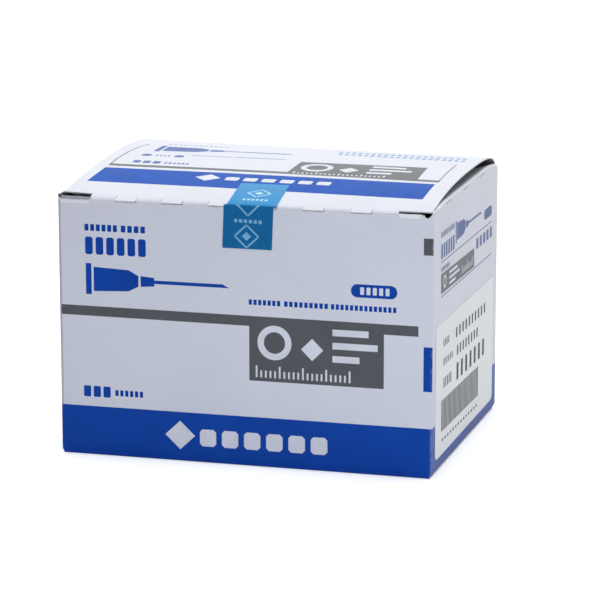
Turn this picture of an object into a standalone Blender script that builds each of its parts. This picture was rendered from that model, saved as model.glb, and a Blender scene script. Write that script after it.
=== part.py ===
"""Tuck-top folding carton for hypodermic needles, with its seal tape and its data label.

The carton is one sheet of board. Its printed side is laid out fold by fold as a surface of quads, which a
Solidify modifier then gives the board's thickness, inwards. X runs along the front, Y from the front to the
back and Z up. The origin is on the surface that the carton stands on, under the middle of its four walls.
"""

import math

import bmesh
import bpy
from mathutils import Vector

# Board and overall size, in metres
BOARD = 0.00045
WIDTH = 0.1230
DEPTH = 0.0960
FRONT_HEIGHT = 0.0839

# Folds, as the radius of the printed side
CORNER_RADIUS = 0.0007
BASE_FOLD_RADIUS = 0.0008
DUST_FOLD_RADIUS = 0.0009
FOLD_STEPS = 6
FLAT_MARGIN = 0.0012

# Glued joints
GLUE_LINE = 0.00005
GLUE_FLAP_WIDTH = 0.0120
GLUE_FLAP_END_GAP = 0.0030
GLUE_FLAP_TAPER = 0.0050
SEAM_SETBACK = 0.0002

# End walls: their top fold stands higher than the front's cut edge and rises to the back. It is pressed down
# near both ends, where the lid is low. In front of the fold they end in a cut edge
END_EDGE_RISE = 0.0011
END_FOLD_FRONT_RISE = 0.00075
END_FOLD_BACK_RISE = 0.00205
END_FOLD_FRONT_DIP = 0.0012
END_FOLD_BACK_DIP = 0.0016
END_FOLD_DIP_LENGTH = 0.0190
END_FOLD_DIP_STEPS = 5

# Top dust flaps
DUST_FLAP_LENGTH = 0.0320
DUST_FLAP_SHOULDER = 0.0080
DUST_FLAP_TAPER = 0.0070
DUST_FLAP_DROOP = math.radians(16)
DUST_FLAP_FRONT_GAP = 0.0065
DUST_FLAP_BACK_GAP = 0.0008
DUST_FLAP_NOTCH = 0.0004
PERFORATION_HEIGHT = 0.00015
PERFORATION_LENGTH = 0.0075
PERFORATION_PITCH = 0.0245
PERFORATION_START = 0.0172

# Lid: an arch from the back fold to the front one, bowed more at its left end than at its right. Its side gap
# is measured from where the walls' corners start to round
LID_SIDE_GAP = 0.00015
LID_FOLD_DROP = 0.0010
LID_RISE_LEFT = 0.0074
LID_RISE_RIGHT = 0.0058
LID_CREST_LEFT = 0.0690
LID_CREST_RIGHT = 0.0624
LID_BACK_STIFFNESS_LEFT = 0.0050
LID_BACK_STIFFNESS_RIGHT = 0.0066
LID_FRONT_SLOPE_LEFT = 0.15
LID_FRONT_SLOPE_RIGHT = 0.25
LID_FRONT_REACH = 0.0178
LID_CREST_REACH_LEFT = 0.0229
LID_CREST_REACH_RIGHT = 0.0190
LID_STEPS = 9

# Place of the lid's front edge, behind the front and over the front's cut edge, along the carton
LID_SETBACK_LEFT = 0.0038
LID_SETBACK_LOW = 0.0015
LID_SETBACK_RIGHT = 0.0019
LID_LIFT_LEFT = 0.00142
LID_LIFT_LOW = 0.00065
LID_LIFT_RIGHT = 0.00070
LID_LOW_PLACE = 0.70

# Front fold of the lid: slits at both ends and a cut crease between them
SLIT_LEFT = 0.0108
SLIT_RIGHT = 0.0114
CUT_LENGTH = 0.0071
CREASE_LENGTH = 0.0082
KERF = 0.00015
TAB_SETBACK = 0.0001
TAB_GAP = 0.00008
BEND_FULLNESS = 0.55

# Tuck flap, behind the front wall
TUCK_CLEARANCE = 0.0001
TUCK_DEPTH = 0.0180
TUCK_LEFT_GAP = 0.0008
TUCK_RIGHT_GAP = 0.0026
TUCK_BEND_DROP = 0.0008
TUCK_SHOULDER_LEFT = 0.0006
TUCK_SHOULDER_RIGHT = -0.0003
TUCK_CORNER_RADIUS = 0.0080
TUCK_CORNER_STEPS = 5

# Cut edge of the front: lower between the slits, with a dip at its right corner
FRONT_RELIEF = 0.0006
FRONT_RELIEF_RAMP = 0.0005
DIP_WIDTH = 0.0036
DIP_DEPTH = 0.0011
DIP_STEPS = 6

# Base: two long flaps over two short ones, all glued
BASE_DUST_LENGTH = 0.0300
BASE_DUST_TAPER = 0.0050
BASE_INNER_LENGTH = 0.0600
BASE_OUTER_END_GAP = 0.0010

# Seal tape, over the lid's front fold
TAPE_THICKNESS = 0.00008
TAPE_GAP = 0.00005
TAPE_WIDTH = 0.0162
TAPE_PLACE = 0.0636
TAPE_FRONT_LENGTH = 0.0135
TAPE_LID_LENGTH = 0.0205
TAPE_SHIFT = 0.0010
TAPE_FRONT_LEAN = math.radians(2.5)
TAPE_LID_LEAN = math.radians(-4.2)
TAPE_FOLD_STEPS = 3
TAPE_ROWS = 8
TAPE_COLUMNS = 4

# Data label, on the right end wall
LABEL_THICKNESS = 0.0001
LABEL_GAP = 0.00005
LABEL_WIDTH = 0.0853
LABEL_HEIGHT = 0.0429
LABEL_CORNER_RADIUS = 0.0022
LABEL_CORNER_STEPS = 5
LABEL_PLACE = -0.0013
LABEL_BOTTOM = 0.0048
LABEL_TILT = math.radians(0.1)

# Places that follow from the sizes
LEFT = -WIDTH / 2
RIGHT = WIDTH / 2
FRONT = -DEPTH / 2
BACK = DEPTH / 2
UP = Vector((0, 0, 1))
LAYER = BOARD + GLUE_LINE
SPACING = BOARD / 10
SEAM_BACK = BACK - LAYER
LID_FOLD_HEIGHT = FRONT_HEIGHT - LID_FOLD_DROP
LID_LEFT = LEFT + CORNER_RADIUS + LID_SIDE_GAP
LID_RIGHT = RIGHT - CORNER_RADIUS - LID_SIDE_GAP
TUCK_PLANE = FRONT + BOARD + TUCK_CLEARANCE
DUST_FRONT = FRONT + DUST_FLAP_FRONT_GAP
DUST_BACK = SEAM_BACK - BOARD - max(CORNER_RADIUS - BOARD, 0) - DUST_FLAP_BACK_GAP


def mix(first, last, share):
    """The value at this share of the way from the first to the last."""
    return first + (last - first) * share


def evenly(first, last, steps):
    """The ends and the places between them, in equal steps."""
    return [mix(first, last, i / steps) for i in range(steps + 1)]


def bezier(points, share):
    """A point of the cubic curve with these four control points."""
    back = 1 - share
    weights = (back**3, 3 * back**2 * share, 3 * back * share**2, share**3)
    return sum((point * weight for point, weight in zip(points, weights)), Vector((0, 0)))


class Sheet:
    """The printed side of a sheet of board, as rows of vertices joined by quads that face outwards."""

    def __init__(self):
        self.mesh = bmesh.new()

    def row(self, points):
        """New vertices at these points."""
        return [self.mesh.verts.new(point) for point in points]

    def join(self, lower, upper, open_columns=()):
        """Quads between two rows, apart from the columns that are left open."""
        for i in range(len(lower) - 1):
            corners = (lower[i], lower[i + 1], upper[i + 1], upper[i])
            if i not in open_columns:
                self.mesh.faces.new(corners)

    def to_object(self, name, thickness, inwards, material):
        """The finished object, with the sheet's thickness on one side of the surface."""
        loose = [vertex for vertex in self.mesh.verts if not vertex.link_faces]
        bmesh.ops.delete(self.mesh, geom=loose, context="VERTS")
        data = bpy.data.meshes.new(name)
        self.mesh.to_mesh(data)
        self.mesh.free()
        sheet = bpy.data.objects.new(name, data)
        bpy.context.scene.collection.objects.link(sheet)
        data.materials.append(material)
        data.shade_smooth()
        data.set_sharp_from_angle(angle=math.radians(40))
        solidify = sheet.modifiers.new("Thickness", "SOLIDIFY")
        solidify.thickness = thickness
        solidify.offset = -1 if inwards else 1
        solidify.use_even_offset = True
        return sheet


def paint(name, colour, roughness):
    """A plain material."""
    material = bpy.data.materials.new(name)
    material.use_nodes = True
    shader = material.node_tree.nodes["Principled BSDF"]
    shader.inputs["Base Color"].default_value = (*colour, 1)
    shader.inputs["Roughness"].default_value = roughness
    shader.inputs["Metallic"].default_value = 0
    return material


# Columns, the places across a wall where its folds change


def bounded(places):
    """The places with one more beside each end, so that a wall stays flat right up to its folds."""
    return [places[0], places[0] + FLAT_MARGIN, *places[1:-1], places[-1] - FLAT_MARGIN, places[-1]]


def lid_cuts():
    """(start, end) along X of each slit and each cut of the lid's front fold, from the left."""
    first = LEFT + SLIT_LEFT
    last = RIGHT - SLIT_RIGHT
    count = max(1, round((last - first - CREASE_LENGTH) / (CUT_LENGTH + CREASE_LENGTH)))
    crease = (last - first - count * CUT_LENGTH) / (count + 1)
    starts = [first + crease + i * (CUT_LENGTH + crease) for i in range(count)]
    return [(LID_LEFT, first)] + [(start, start + CUT_LENGTH) for start in starts] + [(last, LID_RIGHT)]


def lid_columns():
    """Places along X of the lid's columns, from the left, with a narrow one for each end of a cut."""
    places = []
    for start, end in lid_cuts():
        places += [start, end]
        if start > LID_LEFT:
            places.append(start + KERF)
        if end < LID_RIGHT:
            places.append(end - KERF)
    return sorted(places)


def inside_cut(place):
    """Whether this place along X lies in a cut or a slit, clear of its kerfs."""
    return any(
        start + KERF * (start > LID_LEFT) < place < end - KERF * (end < LID_RIGHT) for start, end in lid_cuts()
    )


def inside_crease(place):
    """Whether this place along X lies between the cuts, where the board bends."""
    return not any(start < place < end for start, end in lid_cuts())


def inside_slit(place):
    """Whether this place along X lies in one of the two end slits, clear of its kerf."""
    return place < LEFT + SLIT_LEFT - KERF / 2 or place > RIGHT - SLIT_RIGHT + KERF / 2


def perforations():
    """(start, end) along Y of each perforation of a dust flap's fold, from the front."""
    found = []
    start = FRONT + PERFORATION_START
    while start + PERFORATION_LENGTH < DUST_BACK:
        found.append((start, start + PERFORATION_LENGTH))
        start += PERFORATION_PITCH
    return found


def dust_columns():
    """Places along Y of a top dust flap's columns, from the front."""
    places = set(evenly(DUST_FRONT, FRONT + END_FOLD_DIP_LENGTH, END_FOLD_DIP_STEPS))
    places |= set(evenly(BACK - END_FOLD_DIP_LENGTH, DUST_BACK, END_FOLD_DIP_STEPS))
    for start, end in perforations():
        places |= {start, end}
    return sorted(places)


def open_between(places, inside):
    """Numbers of the columns whose middle the test takes."""
    return {i for i, (a, b) in enumerate(zip(places, places[1:])) if inside((a + b) / 2)}


# Shapes of the folds


def end_dip(distance):
    """Share of its dip that an end wall's top fold has at a distance from its end: all at the end, then less."""
    return 1 - math.sin(min(distance / END_FOLD_DIP_LENGTH, 1) * math.pi / 2)


def end_top(y):
    """Height of an end wall: its cut edge near the front, and behind that the start of its fold."""
    if y < DUST_FRONT - DUST_FLAP_NOTCH / 2:
        return FRONT_HEIGHT + END_EDGE_RISE
    rise = mix(END_FOLD_FRONT_RISE, END_FOLD_BACK_RISE, (y - FRONT) / DEPTH)
    return FRONT_HEIGHT + rise - END_FOLD_FRONT_DIP * end_dip(y - FRONT) - END_FOLD_BACK_DIP * end_dip(BACK - y)


def front_columns():
    """Places along X of the front wall's columns, from the left."""
    first = LEFT + SLIT_LEFT
    last = RIGHT - SLIT_RIGHT
    relief = [first, first + FRONT_RELIEF_RAMP, last - FRONT_RELIEF_RAMP, last]
    dip_start = RIGHT - CORNER_RADIUS / 2 - DIP_WIDTH
    return [
        LEFT + CORNER_RADIUS,
        LEFT + CORNER_RADIUS + FLAT_MARGIN,
        *relief,
        *evenly(dip_start, RIGHT - CORNER_RADIUS, DIP_STEPS),
    ]


def front_edge_height(x):
    """Height of the front wall's cut edge."""
    ramp = min(x - LEFT - SLIT_LEFT, RIGHT - SLIT_RIGHT - x) / FRONT_RELIEF_RAMP
    relief = FRONT_RELIEF * min(max(ramp, 0), 1)
    share = (x - (RIGHT - CORNER_RADIUS / 2 - DIP_WIDTH)) / DIP_WIDTH
    dip = DIP_DEPTH * math.sin(math.pi * share) ** 2 * (0 < share < 1)
    return FRONT_HEIGHT - relief - dip


def lid_share(x):
    """How far along the carton a place is, from its left end to its right."""
    return (x - LEFT) / WIDTH


def along_lid(x, left, low, right):
    """A value that falls from the left end's to the lowest, and rises to the right end's."""
    share = lid_share(x)
    if share < LID_LOW_PLACE:
        return mix(low, left, (1 - share / LID_LOW_PLACE) ** 2)
    return mix(low, right, ((share - LID_LOW_PLACE) / (1 - LID_LOW_PLACE)) ** 2)


def lid_front(x):
    """(place, forward direction) of the lid's front edge in the YZ plane, where its bend starts."""
    slope = math.atan(mix(LID_FRONT_SLOPE_LEFT, LID_FRONT_SLOPE_RIGHT, lid_share(x)))
    setback = along_lid(x, LID_SETBACK_LEFT, LID_SETBACK_LOW, LID_SETBACK_RIGHT)
    lift = along_lid(x, LID_LIFT_LEFT, LID_LIFT_LOW, LID_LIFT_RIGHT)
    return Vector((FRONT + setback, FRONT_HEIGHT + lift)), Vector((-math.cos(slope), -math.sin(slope)))


def tuck_top(x):
    """Height at which the tuck flap starts: the end of its bend, or its shoulder under a slit."""
    if inside_slit(x):
        return FRONT_HEIGHT + mix(TUCK_SHOULDER_LEFT, TUCK_SHOULDER_RIGHT, lid_share(x))
    return FRONT_HEIGHT - TUCK_BEND_DROP


def bend_curve(x):
    """The curve of the lid's front bend in the YZ plane, from the lid's edge down to the tuck flap."""
    front, forward = lid_front(x)
    end = Vector((TUCK_PLANE, FRONT_HEIGHT - TUCK_BEND_DROP))
    run = (front.x - end.x) * BEND_FULLNESS
    drop = (front.y - end.y) * BEND_FULLNESS
    return front, front + forward * run, end + Vector((0, drop)), end


def lid_curves(x):
    """The two curves of the lid's arch in the YZ plane: from the back fold to the crest, and on to the front."""
    share = lid_share(x)
    crest = Vector(
        (
            FRONT + mix(LID_CREST_LEFT, LID_CREST_RIGHT, share),
            FRONT_HEIGHT + mix(LID_RISE_LEFT, LID_RISE_RIGHT, share),
        )
    )
    start = Vector((BACK, LID_FOLD_HEIGHT))
    front, forward = lid_front(x)
    level = Vector((mix(LID_CREST_REACH_LEFT, LID_CREST_REACH_RIGHT, share), 0))
    stiffness = Vector((0, mix(LID_BACK_STIFFNESS_LEFT, LID_BACK_STIFFNESS_RIGHT, share)))
    rear = (start, start + stiffness, crest + level, crest)
    fore = (crest, crest - level, front - forward * LID_FRONT_REACH, front)
    return rear, fore


def lid_profile(x):
    """Points of the lid in the YZ plane, after the back fold's own."""
    rear, fore = lid_curves(x)
    shares = [(i + 1) / LID_STEPS for i in range(LID_STEPS)]
    return [bezier(rear, share) for share in shares] + [bezier(fore, share) for share in shares]


def lid_height(x, y):
    """Height of the lid's printed side over a place in front of the crest."""
    fore = lid_curves(x)[1]
    if y <= fore[3].x:
        slope = (fore[2].y - fore[3].y) / (fore[2].x - fore[3].x)
        return fore[3].y + slope * (y - fore[3].x)
    low, high = 0.0, 1.0
    for _ in range(30):
        share = (low + high) / 2
        if bezier(fore, share).x > y:
            low = share
        else:
            high = share
    return bezier(fore, low).y


# Carton


def corner(x, y, turn):
    """Places of a rounded corner of the walls. It turns left from this heading, in steps of 90 degrees."""
    angles = evenly(turn - math.pi / 2, turn, FOLD_STEPS)
    return [(x + CORNER_RADIUS * math.cos(a), y + CORNER_RADIUS * math.sin(a)) for a in angles]


def corner_posts(places, before, after):
    """Posts of a rounded corner between two walls. Their ends run from the one wall's heights to the other's."""
    inner = [place for place in places if min(math.dist(place, post[:2]) for post in (before, after)) > SPACING]
    shares = evenly(0, 1, len(inner) + 1)[1:-1]
    return [
        (*place, mix(before[2], after[2], share), mix(before[3], after[3], share))
        for place, share in zip(inner, shares)
    ]


def add_walls(sheet):
    """The four walls and the glue flap, as one strip. Returns each wall's lower and upper rows."""
    radius = CORNER_RADIUS
    glue_slope = GLUE_FLAP_TAPER / GLUE_FLAP_WIDTH
    glue_top = FRONT_HEIGHT - GLUE_FLAP_END_GAP
    corner_start = FRONT + radius
    ends = [corner_start, corner_start + FLAT_MARGIN, DUST_FRONT - DUST_FLAP_NOTCH, *bounded(dust_columns())]
    low_front = BASE_FOLD_RADIUS
    low_back = low_front + LAYER
    low_end = low_back + LAYER
    # Each wall is its places, and how high it starts and ends at a place
    walls = {
        "glue": (
            [(LEFT + GLUE_FLAP_WIDTH, SEAM_BACK), (LEFT + radius, SEAM_BACK)],
            lambda x, y: GLUE_FLAP_END_GAP + glue_slope * (x - LEFT - radius),
            lambda x, y: glue_top - glue_slope * (x - LEFT - radius),
        ),
        "left": ([(LEFT, y) for y in reversed(ends)], lambda x, y: low_end, lambda x, y: end_top(y)),
        "front": (
            [(x, FRONT) for x in front_columns()],
            lambda x, y: low_front,
            lambda x, y: front_edge_height(x),
        ),
        "right": ([(RIGHT, y) for y in ends], lambda x, y: low_end, lambda x, y: end_top(y)),
        "back": (
            [(x, BACK) for x in [RIGHT - radius] + lid_columns()[::-1] + [LEFT + SEAM_SETBACK]],
            lambda x, y: low_back,
            lambda x, y: LID_FOLD_HEIGHT,
        ),
    }
    corners = {
        "left": corner(LEFT + radius, SEAM_BACK - radius, math.pi),
        "front": corner(LEFT + radius, FRONT + radius, 1.5 * math.pi),
        "right": corner(RIGHT - radius, FRONT + radius, 2 * math.pi),
        "back": corner(RIGHT - radius, BACK - radius, 2.5 * math.pi),
    }
    # A post is (x, y, height of its foot, height of its top)
    posts = []
    spans = {}
    for name, (places, low, high) in walls.items():
        wall = [(x, y, low(x, y), high(x, y)) for x, y in places]
        if posts:
            posts += corner_posts(corners[name], posts[-1], wall[0])
        spans[name] = slice(len(posts), len(posts) + len(wall))
        posts += wall
    rows = [
        sheet.row([Vector((x, y, low)) for x, y, low, high in posts]),
        sheet.row([Vector((x, y, low + FLAT_MARGIN)) for x, y, low, high in posts]),
        sheet.row([Vector((x, y, high - FLAT_MARGIN)) for x, y, low, high in posts]),
        sheet.row([Vector((x, y, high)) for x, y, low, high in posts]),
    ]
    for lower, upper in zip(rows, rows[1:]):
        sheet.join(lower, upper)
    return {name: (rows[0][span], rows[-1][span]) for name, span in spans.items()}


def add_dust_flap(sheet, row, inward):
    """A top dust flap on an end wall's upper row, with its perforated fold, its shoulder and its taper."""
    bend = math.pi / 2 + DUST_FLAP_DROOP
    radius = DUST_FOLD_RADIUS
    angles = evenly(PERFORATION_HEIGHT / radius, bend, FOLD_STEPS)
    path = [(radius * (1 - math.cos(a)), radius * math.sin(a)) for a in angles]
    for length in (DUST_FLAP_SHOULDER, DUST_FLAP_LENGTH):
        run, rise = path[FOLD_STEPS]
        along = length - DUST_FOLD_RADIUS
        path.append((run + along * math.cos(DUST_FLAP_DROOP), rise - along * math.sin(DUST_FLAP_DROOP)))
    places = [vertex.co.y for vertex in row]
    slots = open_between(places, lambda y: any(start < y < end for start, end in perforations()))
    edge = row
    for number, (run, rise) in enumerate(path):
        taper = DUST_FLAP_TAPER * (number == len(path) - 1)
        points = []
        for vertex in row:
            share = (vertex.co.y - DUST_FRONT) / (DUST_BACK - DUST_FRONT)
            y = mix(DUST_FRONT + taper, DUST_BACK - taper / 2, share)
            points.append(Vector((vertex.co.x, y, vertex.co.z)) + inward * run + UP * rise)
        following = sheet.row(points)
        sheet.join(edge, following, slots if number == 0 else ())
        edge = following


def add_lid(sheet, row):
    """The lid on the back wall's upper row: its arch, the front fold with its slits and cuts, and the tuck."""
    columns = [vertex.co.x for vertex in row]
    profiles = [lid_profile(x) for x in columns]
    edge = row
    for points in zip(*profiles):
        following = sheet.row([Vector((x, *point)) for x, point in zip(columns, points)])
        sheet.join(edge, following)
        edge = following
    slits = open_between(columns, lambda x: not inside_cut(x) or inside_slit(x))
    tips = [Vector((x, FRONT + TAB_SETBACK, front_edge_height(x) + BOARD + TAB_GAP)) for x in columns]
    sheet.join(edge, sheet.row(tips), slits)
    cut = open_between(columns, lambda x: not inside_crease(x))
    for share in evenly(0, 1, FOLD_STEPS)[1:-1]:
        following = sheet.row([Vector((x, *bezier(bend_curve(x), share))) for x in columns])
        sheet.join(edge, following, cut)
        edge = following
    add_tuck(sheet, edge, columns, cut)


def add_tuck(sheet, edge, columns, cut):
    """The tuck flap, from its shoulders under the slits to its rounded lower corners."""
    left = LEFT + BOARD + TUCK_LEFT_GAP
    right = RIGHT - BOARD - TUCK_RIGHT_GAP
    low = FRONT_HEIGHT - TUCK_DEPTH
    radius = TUCK_CORNER_RADIUS
    top = [Vector((min(max(x, left), right), TUCK_PLANE, tuck_top(x))) for x in columns]
    following = sheet.row(top)
    sheet.join(edge, following, cut)
    edge = following
    levels = [(low + radius, 0.0)]
    for angle in evenly(0, math.pi / 2, TUCK_CORNER_STEPS)[1:]:
        levels.append((low + radius * (1 - math.sin(angle)), radius * (1 - math.cos(angle))))
    for height, taken in levels:
        points = []
        for place in top:
            share = (place.x - left) / (right - left)
            points.append(Vector((mix(left + taken, right - taken, share), TUCK_PLANE, height)))
        following = sheet.row(points)
        sheet.join(edge, following)
        edge = following


def add_base_flap(sheet, row, inward, length, taper):
    """A base flap on a wall's lower row. Its taper narrows each end of its free edge."""
    radius = BASE_FOLD_RADIUS
    path = [(radius * (1 - math.cos(a)), radius * math.sin(a)) for a in evenly(0, math.pi / 2, FOLD_STEPS)[1:]]
    path.append((length, radius))
    along = (row[-1].co - row[0].co).normalized()
    total = (row[-1].co - row[0].co).length
    edge = row
    for number, (run, drop) in enumerate(path):
        points = []
        for vertex in row:
            share = (vertex.co - row[0].co).length / total
            shift = taper * (1 - 2 * share) * (number == len(path) - 1)
            points.append(vertex.co + inward * run - UP * drop + along * shift)
        following = sheet.row(points)
        sheet.join(following, edge)
        edge = following


def flap_row(row, axis, first, last):
    """The part of a row between two places along an axis."""
    return [vertex for vertex in row if first - SPACING <= vertex.co[axis] <= last + SPACING]


def make_carton():
    """The carton, as one folded sheet."""
    sheet = Sheet()
    rows = add_walls(sheet)
    for side, inward in (("left", Vector((1, 0, 0))), ("right", Vector((-1, 0, 0)))):
        add_dust_flap(sheet, flap_row(rows[side][1], 1, DUST_FRONT, DUST_BACK), inward)
    add_lid(sheet, flap_row(rows["back"][1], 0, LID_LEFT, LID_RIGHT))
    add_base_flap(sheet, rows["left"][0], Vector((1, 0, 0)), BASE_DUST_LENGTH, BASE_DUST_TAPER)
    add_base_flap(sheet, rows["right"][0], Vector((-1, 0, 0)), BASE_DUST_LENGTH, BASE_DUST_TAPER)
    back = flap_row(rows["back"][0], 0, LID_LEFT, LID_RIGHT)
    add_base_flap(sheet, back, Vector((0, -1, 0)), BASE_INNER_LENGTH, 0)
    add_base_flap(sheet, rows["front"][0], Vector((0, 1, 0)), DEPTH - BASE_OUTER_END_GAP, 0)
    return sheet.to_object("carton", BOARD, True, paint("Carton board", (0.82, 0.84, 0.88), 0.45))


# Tape and label


def tape_rows():
    """Rows of points of the seal tape's underside, from its lower end on the front to its end on the lid."""
    radius = TAB_SETBACK + TAPE_GAP
    plane = FRONT - TAPE_GAP
    turn = plane + radius
    middle = LEFT + TAPE_PLACE
    across = evenly(middle - TAPE_WIDTH / 2, middle + TAPE_WIDTH / 2, TAPE_COLUMNS)
    low = FRONT_HEIGHT - TAPE_FRONT_LENGTH
    lean = TAPE_FRONT_LENGTH * math.tan(TAPE_FRONT_LEAN)
    rows = [[Vector((x - lean, plane, low)) for x in across]]
    for share in evenly(0, 1, TAPE_FOLD_STEPS):
        angle = share * math.pi / 2
        y = turn - radius * math.cos(angle)
        drop = radius * (1 - math.sin(angle)) - TAPE_GAP
        rows.append([Vector((x + share * TAPE_SHIFT, y, lid_height(x, turn) - drop)) for x in across])
    for y in evenly(turn, plane + TAPE_LID_LENGTH, TAPE_ROWS)[1:]:
        shift = TAPE_SHIFT + (y - turn) * math.tan(TAPE_LID_LEAN)
        rows.append([Vector((x + shift, y, lid_height(x + shift, y) + TAPE_GAP)) for x in across])
    return rows


def make_seal_tape():
    """The strip of film that runs up the front, over the lid's fold and back along the lid."""
    sheet = Sheet()
    rows = [sheet.row(points) for points in tape_rows()]
    for lower, upper in zip(rows, rows[1:]):
        sheet.join(lower, upper)
    return sheet.to_object("seal_tape", TAPE_THICKNESS, False, paint("Tape film", (0.02, 0.20, 0.42), 0.25))


def make_data_label():
    """The sticker on the right end wall, a rounded rectangle laid on by hand and a little off level."""
    outline = bmesh.new()
    half_width = LABEL_WIDTH / 2 - LABEL_CORNER_RADIUS
    half_height = LABEL_HEIGHT / 2 - LABEL_CORNER_RADIUS
    corners = ((1, 1, 0), (-1, 1, 1), (-1, -1, 2), (1, -1, 3))
    points = []
    for side, level, quarter in corners:
        for angle in evenly(quarter * math.pi / 2, (quarter + 1) * math.pi / 2, LABEL_CORNER_STEPS):
            y = side * half_width + LABEL_CORNER_RADIUS * math.cos(angle)
            z = level * half_height + LABEL_CORNER_RADIUS * math.sin(angle)
            points.append((0, y, z))
    face = outline.faces.new([outline.verts.new(point) for point in points])
    raised = bmesh.ops.extrude_face_region(outline, geom=[face])["geom"]
    moved = [item for item in raised if isinstance(item, bmesh.types.BMVert)]
    bmesh.ops.translate(outline, verts=moved, vec=(LABEL_THICKNESS, 0, 0))
    bmesh.ops.recalc_face_normals(outline, faces=outline.faces)
    data = bpy.data.meshes.new("data_label")
    outline.to_mesh(data)
    outline.free()
    label = bpy.data.objects.new("data_label", data)
    bpy.context.scene.collection.objects.link(label)
    data.materials.append(paint("Label paper", (0.80, 0.83, 0.82), 0.55))
    label.location = (RIGHT + LABEL_GAP, LABEL_PLACE, LABEL_BOTTOM + LABEL_HEIGHT / 2)
    label.rotation_euler = (LABEL_TILT, 0, 0)
    return label


def main():
    """Clears the scene and builds the three pieces under one empty."""
    for item in list(bpy.data.objects):
        bpy.data.objects.remove(item, do_unlink=True)
    root = bpy.data.objects.new("needle_carton", None)
    bpy.context.scene.collection.objects.link(root)
    for piece in (make_carton(), make_seal_tape(), make_data_label()):
        piece.parent = root


main()
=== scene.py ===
"""Looks of a sealed folding carton for hypodermic needles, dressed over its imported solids."""

import logging
import math
from collections.abc import Callable, Iterable
from dataclasses import dataclass
from enum import Enum
from functools import partial

import bmesh
import bpy
from mathutils import Matrix, Vector


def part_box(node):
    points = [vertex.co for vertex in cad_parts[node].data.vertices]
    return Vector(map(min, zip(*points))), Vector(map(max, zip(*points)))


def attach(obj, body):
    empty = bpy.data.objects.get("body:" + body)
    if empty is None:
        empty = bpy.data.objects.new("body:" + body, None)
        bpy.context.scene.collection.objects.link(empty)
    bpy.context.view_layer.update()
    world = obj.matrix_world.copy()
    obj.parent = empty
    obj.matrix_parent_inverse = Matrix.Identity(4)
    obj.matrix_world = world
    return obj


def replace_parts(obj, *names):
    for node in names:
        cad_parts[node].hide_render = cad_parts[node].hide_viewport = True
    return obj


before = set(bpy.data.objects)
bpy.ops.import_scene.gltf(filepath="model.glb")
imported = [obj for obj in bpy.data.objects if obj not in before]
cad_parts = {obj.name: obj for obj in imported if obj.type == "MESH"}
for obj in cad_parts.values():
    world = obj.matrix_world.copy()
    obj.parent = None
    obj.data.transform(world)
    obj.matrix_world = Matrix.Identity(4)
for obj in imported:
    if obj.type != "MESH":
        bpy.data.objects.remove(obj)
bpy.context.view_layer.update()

MM = 0.001
MERGE_DISTANCE = 1e-7
CUT_TOLERANCE = 1e-8
SHORTEST_SIDE = 1e-9
SHARP_ANGLE = math.radians(40)
SEED_STEP = 0.00005
SQUARE_ON = 0.98
FACING_DOWN = -0.95
INK_THICKNESS = 0.00001
INK_LAYERS = 2
NOISE_RANGE = (0.3, 0.7)
MIX_COLOURS = (6, 7)
MIX_RESULT = 2
BODY = "root"

Colour = tuple[float, float, float]
Outline = list[tuple[float, float]]
Shape = bmesh.types.BMesh
Face = bmesh.types.BMFace
Socket = bpy.types.NodeSocket


class Slot(Enum):
    """Material slots of the record."""

    BOARD = "board"
    FILM = "film"
    LABEL = "label"


class Coat(Enum):
    """Places of the board's materials on its mesh."""

    OUTSIDE = 0
    INSIDE = 1
    CUT_EDGE = 2
    # Cut edges in the left slit, which carry painted shade.
    SLIT_EDGE = 3


class Nodes:
    """A small writer of nodes for one material or world."""

    def __init__(self, owner: bpy.types.Material | bpy.types.World, output: str) -> None:
        """Empties the owner's tree and adds its output.

        Args:
            owner: The material or world.
            output: The kind of the output node.
        """
        owner.use_nodes = True
        self.owner = owner
        self.tree = owner.node_tree
        self.tree.nodes.clear()
        self.output = self.add(output)

    def add(self, kind: str) -> bpy.types.Node:
        """Adds a node of a kind."""
        return self.tree.nodes.new(kind)

    def link(self, source: Socket, target: Socket) -> None:
        """Joins two sockets."""
        self.tree.links.new(source, target)

    def span(self, value: Socket, source: tuple[float, float], target: tuple[float, float]) -> Socket:
        """Maps a value from one range to another, clamped.

        Args:
            value: The value.
            source: Its range.
            target: The range that it is mapped to.

        Returns:
            The mapped value.
        """
        node = self.add("ShaderNodeMapRange")
        node.clamp = True
        self.link(value, node.inputs["Value"])
        node.inputs["From Min"].default_value, node.inputs["From Max"].default_value = source
        node.inputs["To Min"].default_value, node.inputs["To Max"].default_value = target
        return node.outputs["Result"]

    def maths(self, operation: str, first: Socket | float, second: Socket | float | None = None) -> Socket:
        """Adds a calculation.

        Args:
            operation: Blender's name of the operation.
            first: The first value or socket.
            second: The second value or socket, if the operation has one.

        Returns:
            The result.
        """
        node = self.add("ShaderNodeMath")
        node.operation = operation
        for socket, value in zip(node.inputs, (first, second)):
            if isinstance(value, (int, float)):
                socket.default_value = value
            elif value is not None:
                self.link(value, socket)
        return node.outputs[0]


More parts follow.
